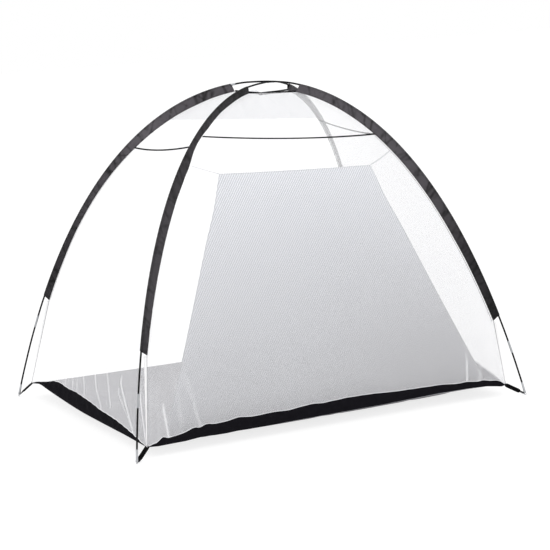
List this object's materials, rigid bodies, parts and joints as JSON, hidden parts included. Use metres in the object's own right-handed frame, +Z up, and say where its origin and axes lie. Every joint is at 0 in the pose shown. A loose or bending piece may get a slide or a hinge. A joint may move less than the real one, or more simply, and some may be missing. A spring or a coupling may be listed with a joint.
{
  "type": "golf chipping net",
  "caption": "Pop-up dome net with two crossed jointed poles, white mesh sides, an open front, a grey floor sheet and a hanging cloth hitting panel.",
  "frame": {"origin": "on the ground, in the middle of the rectangle of the four pole feet", "axes": "+Z up; -Y out of the open front that the ball comes in through; +X towards the front right and rear right feet"},
  "size_m": [2.0096, 1.5102, 1.5242],
  "materials": {
    "pole_fibreglass": "satin black fibreglass tube",
    "ferrule_metal": "satin",
    "tip_metal": "satin",
    "pin_steel": "zinc plated",
    "shock_cord_rubber": "braided elastic cord",
    "black_cloth": "close black woven cloth",
    "black_webbing": "black webbing",
    "white_tape": "white seam tape",
    "white_mesh": "open white netting",
    "roof_cloth": "thin translucent white cloth",
    "grey_floor_cloth": "matt grey woven sheet",
    "panel_cloth": "light grey close cloth",
    "tie_cord": "thin light grey cord"
  },
  "bodies": {
    "net_and_poles": {"upper_pole_section_01": "pole_fibreglass", "upper_pole_section_02": "pole_fibreglass", "upper_pole_section_03": "pole_fibreglass", "upper_pole_section_04": "pole_fibreglass", "upper_pole_section_05": "pole_fibreglass", "upper_pole_section_06": "pole_fibreglass", "upper_pole_section_07": "pole_fibreglass", "upper_pole_section_08": "pole_fibreglass", "upper_pole_section_09": "pole_fibreglass", "upper_pole_section_10": "pole_fibreglass", "upper_pole_section_11": "pole_fibreglass", "lower_pole_section_01": "pole_fibreglass", "lower_pole_section_02": "pole_fibreglass", "lower_pole_section_03": "pole_fibreglass", "lower_pole_section_04": "pole_fibreglass", "lower_pole_section_05": "pole_fibreglass", "lower_pole_section_06": "pole_fibreglass", "lower_pole_section_07": "pole_fibreglass", "lower_pole_section_08": "pole_fibreglass", "lower_pole_section_09": "pole_fibreglass", "lower_pole_section_10": "pole_fibreglass", "lower_pole_section_11": "pole_fibreglass", "pole_ferrules": "ferrule_metal", "pole_foot_tips": "tip_metal", "upper_pole_shock_cord": "shock_cord_rubber", "lower_pole_shock_cord": "shock_cord_rubber", "corner_strap_front_right": "black_webbing", "pole_sleeve_front_right": "black_cloth", "corner_strap_rear_right": "black_webbing", "pole_sleeve_rear_right": "black_cloth", "corner_strap_rear_left": "black_webbing", "pole_sleeve_rear_left": "black_cloth", "corner_strap_front_left": "black_webbing", "pole_sleeve_front_left": "black_cloth", "corner_seam_tapes": "white_tape", "crown_tapes": "black_cloth", "roof_gore_right": "roof_cloth", "roof_gore_back": "roof_cloth", "roof_gore_left": "roof_cloth", "roof_gore_front": "roof_cloth", "net_wall_right": "white_mesh", "base_skirt_right": "black_cloth", "net_wall_back": "white_mesh", "base_skirt_back": "black_cloth", "net_wall_left": "white_mesh", "base_skirt_left": "black_cloth", "roof_line_bindings": "black_cloth", "floor_sheet": "grey_floor_cloth"},
    "hitting_panel": {"hitting_panel": "panel_cloth", "panel_tie_left": "tie_cord", "panel_tie_right": "tie_cord"},
    "corner_pin_front_right": {"corner_pin_front_right": "pin_steel", "corner_ring_front_right": "pin_steel"},
    "corner_pin_rear_right": {"corner_pin_rear_right": "pin_steel", "corner_ring_rear_right": "pin_steel"},
    "corner_pin_rear_left": {"corner_pin_rear_left": "pin_steel", "corner_ring_rear_left": "pin_steel"},
    "corner_pin_front_left": {"corner_pin_front_left": "pin_steel", "corner_ring_front_left": "pin_steel"}
  },
  "joints": [
    {"name": "hitting_panel_fold", "type": "hinge", "parent": "net_and_poles", "child": "hitting_panel", "pos_m": [0, 0.645, 0.056], "axis": [1, 0, 0], "range_deg": [0, 72]},
    {"name": "corner_pin_front_right_slide", "type": "slide", "parent": "net_and_poles", "child": "corner_pin_front_right", "axis": [-0.2136, 0.1525, 0.965], "range_m": [-0.018, 0], "deforming": ["corner_strap_front_right"]},
    {"name": "corner_pin_rear_right_slide", "type": "slide", "parent": "net_and_poles", "child": "corner_pin_rear_right", "axis": [-0.0941, -0.0671, 0.9933], "range_m": [-0.018, 0], "deforming": ["corner_strap_rear_right"]},
    {"name": "corner_pin_rear_left_slide", "type": "slide", "parent": "net_and_poles", "child": "corner_pin_rear_left", "axis": [0.2055, -0.1623, 0.9651], "range_m": [-0.018, 0], "deforming": ["corner_strap_rear_left"]},
    {"name": "corner_pin_front_left_slide", "type": "slide", "parent": "net_and_poles", "child": "corner_pin_front_left", "axis": [0.0902, 0.0712, 0.9934], "range_m": [-0.018, 0], "deforming": ["corner_strap_front_left"]}
  ]
}
